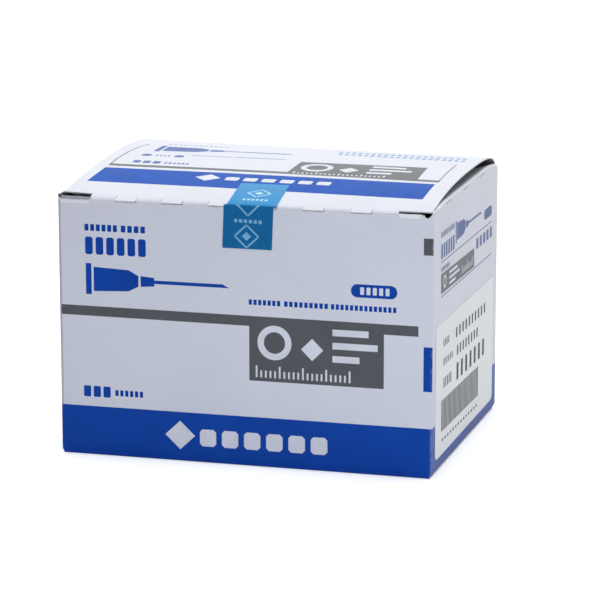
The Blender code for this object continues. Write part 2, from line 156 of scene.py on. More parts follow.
class SurfaceNodes(Nodes):
    """The nodes of one procedural surface, in object space."""

    def __init__(self, name: str) -> None:
        """Starts an empty material.

        Args:
            name: The material's name.
        """
        super().__init__(bpy.data.materials.new(name), "ShaderNodeOutputMaterial")
        self.place = self.add("ShaderNodeTexCoord").outputs["Object"]

    def axes(self) -> tuple[Socket, ...]:
        """Splits the place into its coordinates.

        Returns:
            X, Y and Z.
        """
        split = self.add("ShaderNodeSeparateXYZ")
        self.link(self.place, split.inputs["Vector"])
        return tuple(split.outputs)

    def noise(self, scale: float, detail: float, stretch: tuple[float, float, float] = (1, 1, 1)) -> Socket:
        """Adds a noise in object space.

        Args:
            scale: Features per metre.
            detail: Octaves of the noise.
            stretch: Scale along each axis.

        Returns:
            The noise's value, about 0.5 in the mean.
        """
        mapping = self.add("ShaderNodeMapping")
        mapping.inputs["Scale"].default_value = stretch
        self.link(self.place, mapping.inputs["Vector"])
        texture = self.add("ShaderNodeTexNoise")
        texture.inputs["Scale"].default_value = scale
        texture.inputs["Detail"].default_value = detail
        self.link(mapping.outputs["Vector"], texture.inputs["Vector"])
        return texture.outputs["Fac"]

    def blend(self, share: Socket, first: Colour | Socket, second: Colour | Socket) -> Socket:
        """Mixes two colours.

        Args:
            share: The share of the second colour.
            first: The first colour, or a socket that gives it.
            second: The second colour, or a socket that gives it.

        Returns:
            The mixed colour.
        """
        node = self.add("ShaderNodeMix")
        node.data_type = "RGBA"
        self.link(share, node.inputs["Factor"])
        for index, value in zip(MIX_COLOURS, (first, second)):
            if isinstance(value, tuple):
                node.inputs[index].default_value = (*value, 1)
            else:
                self.link(value, node.inputs[index])
        return node.outputs[MIX_RESULT]

    def mottled(self, colour: Colour, noise: Socket, darkest: float, lightest: float) -> Socket:
        """Varies a colour along a noise.

        Args:
            colour: The colour.
            noise: The noise.
            darkest: The factor where the noise is low.
            lightest: The factor where it is high.

        Returns:
            The varied colour.
        """
        share = self.span(noise, NOISE_RANGE, (0, 1))
        return self.blend(share, shade(colour, darkest), shade(colour, lightest))

    def surface(self, colour: Socket, roughness: Socket, shine: float, height: Socket, depth: float
                ) -> bpy.types.Material:
        """Ends the material in a Principled surface with a bump.

        Args:
            colour: The base colour.
            roughness: The roughness.
            shine: The specular level, set on the shader itself.
            height: The height that the bump follows.
            depth: The bump's depth in metres.

        Returns:
            The finished material.
        """
        bump = self.add("ShaderNodeBump")
        bump.inputs["Strength"].default_value = 1
        bump.inputs["Distance"].default_value = depth
        self.link(height, bump.inputs["Height"])
        shader = self.add("ShaderNodeBsdfPrincipled")
        shader.inputs["Specular IOR Level"].default_value = shine
        self.link(colour, shader.inputs["Base Color"])
        self.link(roughness, shader.inputs["Roughness"])
        self.link(bump.outputs["Normal"], shader.inputs["Normal"])
        self.link(shader.outputs["BSDF"], self.output.inputs["Surface"])
        return self.owner


def shade(colour: Colour, factor: float) -> Colour:
    """Returns the colour, lighter or darker by a factor."""
    return tuple(min(1.0, part * factor) for part in colour)


@dataclass(frozen=True)
class BoardFinish:
    """Coated or raw carton board.

    Each noise is told by its features per metre and its octaves.
    """

    name: str
    colour: Colour
    mottle: float
    roughness: tuple[float, float]
    shine: float
    fibre_depth: float
    mottle_noise: tuple[float, float] = (34, 5)
    speck_noise: tuple[float, float] = (900, 1)
    speck_range: tuple[float, float] = (0.70, 0.76)
    speck_share: float = 0.35
    speck_shade: float = 0.78
    fibre_noise: tuple[float, float] = (1400, 3)
    fibre_stretch: tuple[float, float, float] = (1, 1, 2.2)

    def material(self) -> bpy.types.Material:
        """Builds the board's material: faint mottling, specks and a fine fibre.

        Returns:
            The material.
        """
        nodes = SurfaceNodes(self.name)
        patches = nodes.noise(*self.mottle_noise)
        colour = nodes.mottled(self.colour, patches, 1 - self.mottle, 1 + self.mottle)
        speck = nodes.span(nodes.noise(*self.speck_noise), self.speck_range, (0, self.speck_share))
        colour = nodes.blend(speck, colour, shade(self.colour, self.speck_shade))
        fibre = nodes.noise(*self.fibre_noise, self.fibre_stretch)
        return nodes.surface(colour, nodes.span(fibre, NOISE_RANGE, self.roughness), self.shine, fibre,
                             self.fibre_depth)


@dataclass(frozen=True)
class InkFinish:
    """Printed ink, with slight mottling and pale scuffs along the carton's upright folds."""

    name: str
    colour: Colour
    shine: float = 0.15
    scuffed: bool = True
    mottle: tuple[float, float] = (0.94, 1.06)
    mottle_noise: tuple[float, float] = (90, 4)
    roughness: tuple[float, float] = (0.36, 0.48)
    grain_noise: tuple[float, float] = (1600, 2)
    grain_depth: float = 4e-6
    scuff_colour: Colour = (0.62, 0.66, 0.74)
    scuff_reach: float = 0.0009
    scuff_share: float = 0.22
    scuff_noise: tuple[float, float] = (420, 3)
    scuff_range: tuple[float, float] = (0.42, 0.62)

    def material(self, half_width: float, half_depth: float) -> bpy.types.Material:
        """Builds the ink's material.

        Args:
            half_width: Half of the carton's width.
            half_depth: Half of the carton's depth.

        Returns:
            The material.
        """
        nodes = SurfaceNodes(self.name)
        colour = nodes.mottled(self.colour, nodes.noise(*self.mottle_noise), *self.mottle)
        if self.scuffed:
            x, y, _ = nodes.axes()
            across = nodes.maths("SUBTRACT", half_width, nodes.maths("ABSOLUTE", x))
            along = nodes.maths("SUBTRACT", half_depth, nodes.maths("ABSOLUTE", y))
            reach = nodes.span(nodes.maths("MAXIMUM", across, along), (0.0, self.scuff_reach),
                               (self.scuff_share, 0.0))
            worn = nodes.span(nodes.noise(*self.scuff_noise), self.scuff_range, (0, 1))
            colour = nodes.blend(nodes.maths("MULTIPLY", reach, worn), colour, self.scuff_colour)
        grain = nodes.noise(*self.grain_noise)
        return nodes.surface(colour, nodes.span(grain, NOISE_RANGE, self.roughness), self.shine, grain,
                             self.grain_depth)


@dataclass(frozen=True)
class FilmFinish:
    """Thin printed film with a glossy face, painted lighter where it lies over the lid, for the light that
    falls on the lid from above.
    """

    name: str
    front_colour: Colour
    lid_colour_painted_light: Colour
    shine: float
    fold: tuple[float, float] = (0.0838, 0.0849)
    roughness: tuple[float, float] = (0.22, 0.32)
    gloss_noise: tuple[float, float] = (500, 2)
    wave_noise: tuple[float, float] = (160, 2)
    wave_stretch: tuple[float, float, float] = (1, 0.4, 0.4)
    wave_share: float = 0.08
    wave_colour: Colour = (0.0, 0.0, 0.0)
    wave_depth: float = 2.5e-5

    def material(self) -> bpy.types.Material:
        """Builds the film's material: glossy, with the faint waves of a stretched strip, and painted light
        on its part over the lid.

        Returns:
            The material.
        """
        nodes = SurfaceNodes(self.name)
        # Painted light: the film turns to its lighter colour across the fold onto the lid, which faces the
        # top lamp.
        over_lid = nodes.span(nodes.axes()[2], self.fold, (0, 1))
        colour = nodes.blend(over_lid, self.front_colour, self.lid_colour_painted_light)
        wave = nodes.noise(*self.wave_noise, self.wave_stretch)
        colour = nodes.blend(nodes.span(wave, NOISE_RANGE, (self.wave_share, 0)), colour, self.wave_colour)
        roughness = nodes.span(nodes.noise(*self.gloss_noise), NOISE_RANGE, self.roughness)
        return nodes.surface(colour, roughness, self.shine, wave, self.wave_depth)


@dataclass(frozen=True)
class PaperFinish:
    """Matt label paper."""

    name: str
    colour: Colour
    shine: float = 0.12
    mottle: tuple[float, float] = (0.975, 1.02)
    mottle_noise: tuple[float, float] = (70, 3)
    roughness: tuple[float, float] = (0.5, 0.62)
    fibre_noise: tuple[float, float] = (2200, 3)
    fibre_depth: float = 6e-6

    def material(self) -> bpy.types.Material:
        """Builds the paper's material: matt, with a fine fibre.

        Returns:
            The material.
        """
        nodes = SurfaceNodes(self.name)
        colour = nodes.mottled(self.colour, nodes.noise(*self.mottle_noise), *self.mottle)
        fibre = nodes.noise(*self.fibre_noise)
        return nodes.surface(colour, nodes.span(fibre, NOISE_RANGE, self.roughness), self.shine, fibre,
                             self.fibre_depth)


COATED_BOARD = BoardFinish("coated_board", (0.80, 0.81, 0.865), 0.02, (0.40, 0.50), 0.16, 7e-6)
# The inner side's grey is partly the raw board's own colour and partly painted shade, darker for the gaps
# it is seen through.
RAW_BOARD_AND_SHADE = BoardFinish("raw_board_painted_shade", (0.42, 0.41, 0.37), 0.04, (0.78, 0.90), 0.08, 2e-5)
CUT_BOARD = BoardFinish("cut_board_edge", (0.84, 0.84, 0.82), 0.06, (0.85, 0.95), 0.05, 3e-5)
# Near-black painted shade for the cut edges in the left slit, which lie in the slit's shade.
SLIT_EDGE_PAINTED_SHADE = BoardFinish("cut_edge_painted_shade", (0.080, 0.080, 0.085), 0.06, (0.85, 0.95), 0.05, 3e-5)
BLUE_INK = InkFinish("blue_ink", (0.004, 0.067, 0.41), 0.09)
# The right end's band ink is paler: a painted reflection of the bright surroundings seen at a grazing
# angle.
END_BLUE_INK_WITH_REFLECTION = InkFinish("blue_ink_painted_reflection", (0.098, 0.150, 0.43), 0.11)
GREY_INK = InkFinish("grey_ink", (0.112, 0.120, 0.125))
LINE_INK = InkFinish("fine_line_ink", (0.12, 0.165, 0.36), scuffed=False)
LID_LINE_INK = InkFinish("lid_line_ink", (0.105, 0.170, 0.41), scuffed=False)
PALE_INK = InkFinish("unprinted_shape", (0.80, 0.815, 0.865), 0.16, scuffed=False)
BLACK_INK = InkFinish("black_ink", (0.03, 0.032, 0.035), 0.1, scuffed=False)
LID_GREY_INK = InkFinish("lid_grey_ink", (0.183, 0.19, 0.2), 0.12, scuffed=False)
LID_BLUE_INK = InkFinish("lid_blue_ink", (0.004, 0.088, 0.46), 0.10, scuffed=False)
# Painted shade for the rounded left fold, which turns away from the light, and for the nicks of the
# perforations.
FOLD_SHADE = InkFinish("painted_fold_shade", (0.53, 0.54, 0.58), 0.1, scuffed=False)
# Painted shade for the left slit's lower lip, which bends inward out of the light.
LIP_SHADE = InkFinish("painted_lip_shade", (0.62, 0.62, 0.64), 0.1, scuffed=False)
# Painted highlight: the sheen of light on the front just below each slit.
SLIT_PAINTED_HIGHLIGHT = InkFinish("painted_slit_highlight", (0.97, 0.975, 0.98), 0.1, scuffed=False)
LIGHT_BLUE_INK = InkFinish("light_blue_ink", (0.31, 0.42, 0.64), scuffed=False)
# Each film has a front colour and a lighter colour on the lid, which is painted light.
TAPE_FILM = FilmFinish("blue_film", (0.004, 0.155, 0.385), (0.01, 0.30, 0.66), 0.14)
TAPE_MOTIF = FilmFinish("pale_film_motif", (0.24, 0.52, 0.78), (0.50, 0.84, 0.97), 0.14)
LABEL_PAPER = PaperFinish("label_paper", (0.94, 0.96, 0.945))


@dataclass(frozen=True)
class Panel:
    """A flat system of two axes on one face of the carton.

    The outward direction is the first axis crossed with the second.
    """

    origin: Vector
    across: Vector
    up: Vector

    @property
    def outward(self) -> Vector:
        """The direction that the panel faces."""
        return self.across.cross(self.up)

    def point(self, place: tuple[float, float]) -> Vector:
        """Returns the point of the panel at a place in millimetres."""
        return self.origin + self.across * place[0] * MM + self.up * place[1] * MM


class Marks:
    """Outlines of printed shapes, in millimetres, each convex and anticlockwise."""

    PILL_ROUNDNESS = 0.98
    PILL_CHORDS = 6
    TUBE_SHARE = 0.055
    TUBE_START = 0.48
    BEVEL_SHARE = 4
    LONG_TICK_STEP = 5
    SHORT_TICK_SHARE = 0.6
    STACK_SHARES = (0.6, 1.0, 0.8)

    @staticmethod
    def block(left: float, low: float, right: float, high: float, corner: float = 0.0) -> Outline:
        """Draws a rectangle, which may have cut corners.

        Args:
            left: Its left side.
            low: Its lower side.
            right: Its right side.
            high: Its upper side.
            corner: How much of each corner is cut off.

        Returns:
            The outline.
        """
        if corner <= 0:
            return [(left, low), (right, low), (right, high), (left, high)]
        return Marks.rounded(left, low, right, high, corner, 1)

    @staticmethod
    def rounded(left: float, low: float, right: float, high: float, radius: float, steps: int) -> Outline:
        """Draws a rectangle with rounded corners.

        Args:
            left: Its left side.
            low: Its lower side.
            right: Its right side.
            high: Its upper side.
            radius: The corners' radius.
            steps: Chords in each corner.

        Returns:
            The outline.
        """
        outline = []
        corners = ((right - radius, low + radius, -90), (right - radius, high - radius, 0),
                   (left + radius, high - radius, 90), (left + radius, low + radius, 180))
        for x, y, start in corners:
            for step in range(steps + 1):
                angle = math.radians(start + 90 * step / steps)
                outline.append((x + radius * math.cos(angle), y + radius * math.sin(angle)))
        return outline

    @staticmethod
    def pill(left: float, low: float, right: float, high: float) -> Outline:
        """Returns a bar with round ends."""
        radius = (high - low) / 2 * Marks.PILL_ROUNDNESS
        return Marks.rounded(left, low, right, high, radius, Marks.PILL_CHORDS)

    @staticmethod
    def lozenge(x: float, y: float, half_width: float, half_height: float) -> Outline:
        """Returns a square on its corner."""
        return [(x, y - half_height), (x + half_width, y), (x, y + half_height), (x - half_width, y)]

    @staticmethod
    def bar(start: tuple[float, float], end: tuple[float, float], width: float) -> Outline:
        """Draws a straight bar.

        Args:
            start: The middle of one end.
            end: The middle of the other end.
            width: Its width.

        Returns:
            The outline.
        """
        along = (Vector(end) - Vector(start)).normalized() * width / 2
        side = Vector((along.y, -along.x))
        corners = (Vector(start) + side, Vector(end) + side, Vector(end) - side, Vector(start) - side)
        return [(corner.x, corner.y) for corner in corners]

    @staticmethod
    def row(places: Iterable[tuple[float, float]], low: float, high: float, corner: float = 0.0
            ) -> list[Outline]:
        """Returns a row of blocks of one height."""
        return [Marks.block(left, low, right, high, corner) for left, right in places]

    @staticmethod
    def dashes(left: float, right: float, count: int, share: float, low: float, high: float,
               corner: float = 0.0) -> list[Outline]:
        """Draws evenly spaced blocks of one size.

        Args:
            left: Where the row starts.
            right: Where it ends.
            count: The number of blocks.
            share: The share of each step that a block fills.
            low: Their lower side.
            high: Their upper side.
            corner: How much of each corner is cut off.

        Returns:
            The blocks.
        """
        pitch = (right - left) / (count - 1 + share)
        places = [(left + pitch * step, left + pitch * (step + share)) for step in range(count)]
        return Marks.row(places, low, high, corner)

    @staticmethod
    def needle(left: float, right: float, low: float, high: float) -> list[Outline]:
        """Draws a hypodermic needle from the side, its hub on the left.

        Args:
            left: The hub's end.
            right: The needle's tip.
            low: The lower side of the hub's flange.
            high: The upper side of the flange.

        Returns:
            The outlines of the flange, hub, shoulder, collar and tube.
        """
        length, height, axis = right - left, high - low, (low + high) / 2

        def part(start: float, end: float, first: float, last: float) -> Outline:
            """Draws a tapered part.

            Args:
                start: Where it starts, as a share of the length.
                end: Where it ends, as a share of the length.
                first: Its width at the start, as a share of the flange's.
                last: Its width at the end, as a share of the flange's.

            Returns:
                The outline.
            """
            x, far = left + length * start, left + length * end
            first, last = height * first / 2, height * last / 2
            return [(x, axis - first), (far, axis - last), (far, axis + last), (x, axis + first)]

        half_tube = height * Marks.TUBE_SHARE
        start, low_side, high_side = left + length * Marks.TUBE_START, axis - half_tube, axis + half_tube
        tube = [(start, low_side), (right, low_side), (right - half_tube * Marks.BEVEL_SHARE, high_side),
                (start, high_side)]
        return [
            part(0.0, 0.04, 1.0, 1.0),
            part(0.055, 0.30, 0.78, 0.68),
            part(0.30, 0.37, 0.68, 0.34),
            part(0.385, Marks.TUBE_START, 0.34, 0.28),
            tube,
        ]

    @staticmethod
    def ruler(left: float, right: float, low: float, high: float, steps: int, width: float
              ) -> list[Outline]:
        """Draws a plain scale: a row of ticks, each fifth one longer.

        Args:
            left: The first tick.
            right: The last tick.
            low: The ticks' feet.
            high: The top of the longer ticks.
            steps: The number of spaces.
            width: A tick's width.

        Returns:
            The ticks.
        """
        ticks = []
        for step in range(steps + 1):
            x = left + (right - left) * step / steps
            top = high if step % Marks.LONG_TICK_STEP == 0 else low + (high - low) * Marks.SHORT_TICK_SHARE
            ticks.append(Marks.block(x - width / 2, low, x + width / 2, top))
        return ticks

    @staticmethod
    def ring(x: float, y: float, radius: float, width: float, steps: int = 24) -> list[Outline]:
        """Draws a ring, as a tube looks from its end.

        Args:
            x: The middle's place along the panel.
            y: The middle's place up the panel.
            radius: The outer radius.
            width: The wall's width.
            steps: Chords in the ring.

        Returns:
            The ring's pieces.
        """
        turns = [math.tau * step / steps for step in range(steps + 1)]
        inner, outer = ([(x + reach * math.cos(turn), y + reach * math.sin(turn)) for turn in turns]
                        for reach in (radius - width, radius))
        return Marks.strip(outer, inner)

    @staticmethod
    def stack(left: float, right: float, low: float, high: float) -> list[Outline]:
        """Draws three bars of different lengths, one over another.

        Args:
            left: Their left ends.
            right: The right end of the longest.
            low: The lowest bar's lower side.
            high: The highest bar's upper side.

        Returns:
            The bars.
        """
        step = (high - low) / (2 * len(Marks.STACK_SHARES) - 1)
        return [Marks.block(left, low + step * 2 * row, left + (right - left) * share,
                            low + step * (2 * row + 1)) for row, share in enumerate(Marks.STACK_SHARES)]

    @staticmethod
    def strip(lower: Outline, upper: Outline) -> list[Outline]:
        """Fills the room between two broken lines with as many points, piece by piece."""
        return [list(corners) for corners in zip(lower, lower[1:], upper[1:], upper)]

    @staticmethod
    def path(points: Outline, width: float) -> list[Outline]:
        """Draws a line of even width through some points."""
        return [Marks.bar(start, end, width) for start, end in zip(points, points[1:])]

    @staticmethod
    def leaning(outlines: Iterable[Outline], slope: float, start: float = 0.0) -> list[Outline]:
        """Returns shapes that rise or fall along their row.

        Args:
            outlines: The shapes.
            slope: The rise per length.
            start: Where the row begins, and nothing is moved.

        Returns:
            The moved shapes.
        """
        return [[(x, y + slope * (x - start)) for x, y in outline] for outline in outlines]


class Skin:
    """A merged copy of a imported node, and the parts of its outer face that print lies on."""

    def __init__(self, node: str) -> None:
        """Copies and merges a node's mesh.

        Args:
            node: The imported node's name.
        """
        self.shape = bmesh.new()
        self.shape.from_mesh(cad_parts[node].data)
        bmesh.ops.remove_doubles(self.shape, verts=self.shape.verts[:], dist=MERGE_DISTANCE)
        self.shape.faces.index_update()
        self.shape.normal_update()
        for edge in self.shape.edges:
            edge.smooth = not edge.is_manifold or edge.calc_face_angle(0) < SHARP_ANGLE
        for face in self.shape.faces:
            face.smooth = True

    def spread(self, seed: Face, allowed: Callable[[Face], bool]) -> set[Face]:
        """Collects the faces that join a seed without a sharp edge.

        Args:
            seed: The first face.
            allowed: Tells whether a face may be taken.

        Returns:
            The faces.
        """
        found, front = {seed}, [seed]
        while front:
            for edge in front.pop().edges:
                if not edge.smooth:
                    continue
                for face in edge.link_faces:
                    if face not in found and allowed(face):
                        found.add(face)
                        front.append(face)
        return found

    def outermost(self, facing: Vector) -> Face:
        """Finds the largest of the faces that lie furthest out in a direction and face it.

        Args:
            facing: The direction.

        Returns:
            The face.
        """
        faces = (face for face in self.shape.faces if face.normal.dot(facing) > SQUARE_ON)
        return max(faces, key=lambda face: (round(face.calc_center_median().dot(facing) / SEED_STEP),
                                            face.calc_area()))

    def outer_face(self, facing: Vector) -> set[Face]:
        """Collects the whole side of the sheet that looks out in a direction at its outermost part."""
        return self.spread(self.outermost(facing), lambda face: True)

    def patch(self, faces: set[Face]) -> Shape:
        """Copies some of the faces.

        Args:
            faces: The faces.

        Returns:
            A mesh that holds only them.
        """
        keep = {face.index for face in faces}
        copy = self.shape.copy()
        copy.faces.ensure_lookup_table()
        loose = [face for face in copy.faces if face.index not in keep]
        bmesh.ops.delete(copy, geom=loose, context="FACES")
        return copy

    def side(self, panel: Panel, lean: float = 0.5) -> Shape:
        """Copies the outer faces that look along a panel's outward direction.

        Args:
            panel: The panel.
            lean: The least cosine between a face and the panel.

        Returns:
            The copy.
        """
        seed = self.outermost(panel.outward)
        return self.patch(self.spread(seed, lambda face: face.normal.dot(panel.outward) > lean))

    def sink(self, faces: set[Face], depth: float) -> None:
        """Lowers the outer face by the room that print takes, so that print ends where the CAD does.

        Args:
            faces: The outer faces.
            depth: How far they go down.
        """
        normals = {vert: Vector() for face in faces for vert in face.verts}
        for face in faces:
            for loop in face.loops:
                normals[loop.vert] += face.normal * loop.calc_angle()
        for vert, normal in normals.items():
            vert.co -= normal.normalized() * depth
        self.shape.normal_update()


def cut(shape: Shape, place: Vector, facing: Vector, keep_beyond: bool = False) -> None:
    """Cuts a mesh with a plane and throws one side away.

    Args:
        shape: The mesh.
        place: A point on the plane.
        facing: The plane's direction.
        keep_beyond: Whether the side that the plane faces is the one that stays.
    """
    geometry = shape.verts[:] + shape.edges[:] + shape.faces[:]
    bmesh.ops.bisect_plane(shape, geom=geometry, dist=CUT_TOLERANCE, plane_co=place, plane_no=facing,
                           clear_outer=not keep_beyond, clear_inner=keep_beyond)


class Print:
    """One colour of print: thin slabs of ink that follow the surface under them."""

    def __init__(self, name: str) -> None:
        """Starts an empty print.

        Args:
            name: The piece's name.
        """
        self.name = name
        self.shape = bmesh.new()

    def stamp(self, patch: Shape, panel: Panel, outlines: Iterable[Outline], layer: int = 1) -> None:
        """Cuts shapes out of a copy of the surface and lifts them into slabs.

        Args:
            patch: The surface.
            panel: The panel that the outlines are drawn on.
            outlines: Convex outlines in millimetres.
            layer: How many thicknesses of ink the shape stands proud.
        """
        for outline in outlines:
            piece = patch.copy()
            for start, end in zip(outline, outline[1:] + outline[:1]):
                corner = panel.point(start)
                outwards = (panel.point(end) - corner).cross(panel.outward)
                if outwards.length >= SHORTEST_SIDE:
                    cut(piece, corner, outwards.normalized())
            self.raise_slab(piece, layer)

    def raise_slab(self, piece: Shape, layer: int = 1) -> None:
        """Gives a cut piece its thickness and adds it to the print.

        Args:
            piece: The piece, which is used up.
            layer: How many thicknesses of ink it stands proud.
        """
        piece.normal_update()
        lift = {tuple(vert.co): vert.normal * INK_THICKNESS * layer for vert in piece.verts}
        grown = bmesh.ops.extrude_face_region(piece, geom=piece.faces[:], use_keep_orig=True)
        for part in grown["geom"]:
            if isinstance(part, bmesh.types.BMVert):
                part.co += lift[tuple(part.co)]
        bmesh.ops.recalc_face_normals(piece, faces=piece.faces[:])
        piece.normal_update()
        for edge in piece.edges:
            edge.smooth = edge.calc_face_angle(math.pi) < SHARP_ANGLE
        for face in piece.faces:
            face.smooth = True
        mesh = bpy.data.meshes.new("slab")
        piece.to_mesh(mesh)
        piece.free()
        self.shape.from_mesh(mesh)
        bpy.data.meshes.remove(mesh)

    def finish(self, material: bpy.types.Material, slot: Slot) -> None:
        """Makes the print a piece of the carton."""
        make_piece(self.name, self.shape, [material])


def make_piece(name: str, shape: Shape, materials: list[bpy.types.Material]
               ) -> bpy.types.Object:
    """Turns a bmesh into a piece that rides on the carton.

    Args:
        name: The piece's name.
        shape: Its mesh, which is used up.
        materials: Its materials, in the order of the faces' indices.

    Returns:
        The object.
    """
    mesh = bpy.data.meshes.new(name)
    shape.to_mesh(mesh)
    shape.free()
    for material in materials:
        mesh.materials.append(material)
    piece = bpy.data.objects.new(name, mesh)
    bpy.context.scene.collection.objects.link(piece)
    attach(piece, BODY)
    logging.info("%s: %d faces", name, len(mesh.polygons))
    return piece


@dataclass
class FoldedCarton:
    """The printed carton: its board, and the inks on each panel.

    Its measures are in millimetres. The left slit is told by how far it goes from the left, how far back,
    and the height that it lies above.
    """

    band_height: float = 16.2
    corner_inset: float = 0.6
    left_slit: tuple[float, float, float] = (10.9, 1.2, 82.0)
    perforations: tuple[float, ...] = (17.2, 41.7, 66.2)
    perforation_length: float = 7.5
    perforation_rise: float = 0.1
    perforation_width: float = 0.4
    end_fold_height: float = 84.44
    end_fold_slope: float = 0.0135
    rule_width: float = 0.35

    def __post_init__(self) -> None:
        """Reads the carton's box and draws its panels."""
        low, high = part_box("carton")
        self.low, self.high = low, high
        x, y, z = Vector((1, 0, 0)), Vector((0, 1, 0)), Vector((0, 0, 1))
        self.front = Panel(Vector((low.x, low.y, 0)), x, z)
        self.right = Panel(Vector((high.x, low.y, 0)), y, z)
        self.lid = Panel(Vector((low.x, low.y, high.z)), x, y)
        self.skin = Skin("carton")
        self.outside = self.skin.outer_face(self.front.outward)
        self.skin.sink(self.outside, INK_THICKNESS * INK_LAYERS)

    def ink(self, finish: InkFinish) -> bpy.types.Material:
        """Returns the material of an ink on this carton."""
        return finish.material(self.high.x, self.high.y)

    def build(self) -> None:
        """Builds the board and every print."""
        self.print_band()
        self.print_front()
        self.print_lid()
        self.print_end()
        self.build_board()

    def build_board(self) -> None:
        """Makes the board from the merged copy: coated outside, raw inside darkened by painted shade, raw
        at its cut edges, and painted shade on the cut edges in the left slit.
        """
        faces = self.skin.shape.faces
        largest = max(set(faces) - self.outside, key=lambda face: face.calc_area())
        inside = self.skin.spread(largest, lambda face: True)
        for face in faces:
            face.material_index = self.coat(face, inside).value
        logging.info("board: %d outer, %d inner of %d faces", len(self.outside), len(inside), len(faces))
        materials = [finish.material() for finish in (COATED_BOARD, RAW_BOARD_AND_SHADE, CUT_BOARD, SLIT_EDGE_PAINTED_SHADE)]
        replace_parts(make_piece("folded_board", self.skin.shape, materials), "carton")

    def coat(self, face: Face, inside: set[Face]) -> Coat:
        """Tells which of the board's materials a face has.

        Args:
            face: The face.
            inside: The faces of the sheet's inner side.

        Returns:
            The material's place on the mesh.
        """
        if face in self.outside:
            return Coat.OUTSIDE
        if face in inside:
            return Coat.INSIDE
        # Cut edges in the left slit get the near-black painted shade of the slit.
        reach, depth, height = (measure * MM for measure in self.left_slit)
        place = face.calc_center_median() - self.low
        in_slit = place.x < reach and place.y < depth and place.z > height
        return Coat.SLIT_EDGE if in_slit else Coat.CUT_EDGE

    def print_band(self) -> None:
        """Prints the blue band round the foot of the four walls, paler on the right end as a painted
        reflection of the bright surroundings.
        """
        top = Vector((0, 0, self.band_height * MM))
        walls = self.skin.spread(
            self.skin.outermost(self.front.outward),
            lambda face: face.normal.z > FACING_DOWN and min(vert.co.z for vert in face.verts) < top.z)
        patch = self.skin.patch(walls)
        cut(patch, top, self.front.up)
        corner = Vector((self.high.x - self.corner_inset * MM, 0, 0))
        # The right end's part of the band takes the ink with the painted reflection.
        for name, finish, beyond in (("foot_band", BLUE_INK, False), ("end_foot_band_painted_reflection", END_BLUE_INK_WITH_REFLECTION, True)):
            piece = patch.copy()
            cut(piece, corner, self.front.across, beyond)
            band = Print(name)
            band.raise_slab(piece)
            band.finish(self.ink(finish), Slot.BOARD)
        patch.free()

    def print_on(self, panel: Panel, patch: Shape, name: str, finish: InkFinish,
                 outlines: Iterable[Outline], layer: int = 1) -> None:
        """Prints shapes in one ink.

        Args:
            panel: The panel that they are drawn on.
            patch: The surface under them.
            name: The piece's name.
            finish: The ink.
            outlines: The shapes.
            layer: How many thicknesses of ink they stand proud.
        """
        ink = Print(name)
        ink.stamp(patch, panel, outlines, layer)
        ink.finish(self.ink(finish), Slot.BOARD)

    def print_front(self) -> None:
        """Prints the front: a drawn needle, lines, a pill, and a grey bar with a block for the size, with
        painted shade at its left fold and slits and painted highlights under the slits.
        """
        stamp = partial(self.print_on, self.front, self.skin.side(self.front))
        stamp("front_blue_print", BLUE_INK, [
            *Marks.needle(9.2, 57.1, 53.0, 63.1),
            *Marks.dashes(9.1, 29.5, 6, 0.72, 66.0, 71.7, 0.5),
            *Marks.dashes(9.0, 19.9, 6, 0.7, 73.6, 75.8, 0.2),
            *Marks.dashes(21.2, 29.3, 4, 0.7, 73.6, 75.8, 0.2),
            Marks.pill(96.7, 56.9, 111.6, 61.1),
            *Marks.dashes(63.5, 73.8, 7, 0.68, 52.6, 54.3),
            *Marks.dashes(75.1, 89.3, 9, 0.68, 52.6, 54.3),
            *Marks.dashes(90.3, 111.3, 14, 0.68, 52.6, 54.3),
            *Marks.dashes(7.9, 17.0, 3, 0.74, 19.3, 22.9, 0.3),
            *Marks.dashes(18.6, 28.0, 6, 0.66, 20.0, 22.0, 0.2),
            Marks.block(120.1, 28.1, 123.4, 42.3),
        ])
        stamp("front_grey_print", GREY_INK, [
            [(0.7, 46.0), (118.4, 45.5), (118.4, 48.8), (0.7, 49.2)],
            [(63.6, 28.1), (107.4, 28.1), (107.4, 45.57), (63.6, 45.75)],
            Marks.block(119.9, 71.3, 123.4, 76.6),
        ])
        # A strip of painted shade down the rounded left upright fold.
        stamp("left_fold_painted_shade", FOLD_SHADE, [Marks.block(-0.1, self.band_height, 0.95, 83.3)])
        # Painted highlights on the front face under the two slits.
        stamp("slit_painted_highlights", SLIT_PAINTED_HIGHLIGHT, [
            Marks.block(1.0, 82.3, 10.8, 83.4),
            Marks.block(112.0, 82.6, 118.9, 84.0),
        ])
        # A strip of painted shade on the left slit's lip.
        stamp("left_slit_lip", LIP_SHADE, [Marks.block(1.0, 83.4, 10.6, 84.0)])
        stamp("front_open_shapes", PALE_INK, [
            *Marks.ring(71.9, 40.7, 5.6, 2.1),
            Marks.lozenge(84.2, 39.2, 3.6, 3.6),
            *Marks.stack(90.8, 105.4, 35.6, 46.2),
            *Marks.ruler(66.0, 96.4, 29.3, 33.1, 20, 0.6),
            *Marks.dashes(99.7, 109.1, 5, 0.62, 57.8, 60.2, 0.2),
            Marks.lozenge(40.4, 8.6, 5.0, 4.7),
            *Marks.dashes(47.0, 89.2, 6, 0.74, 5.4, 11.0, 0.9),
        ], layer=2)

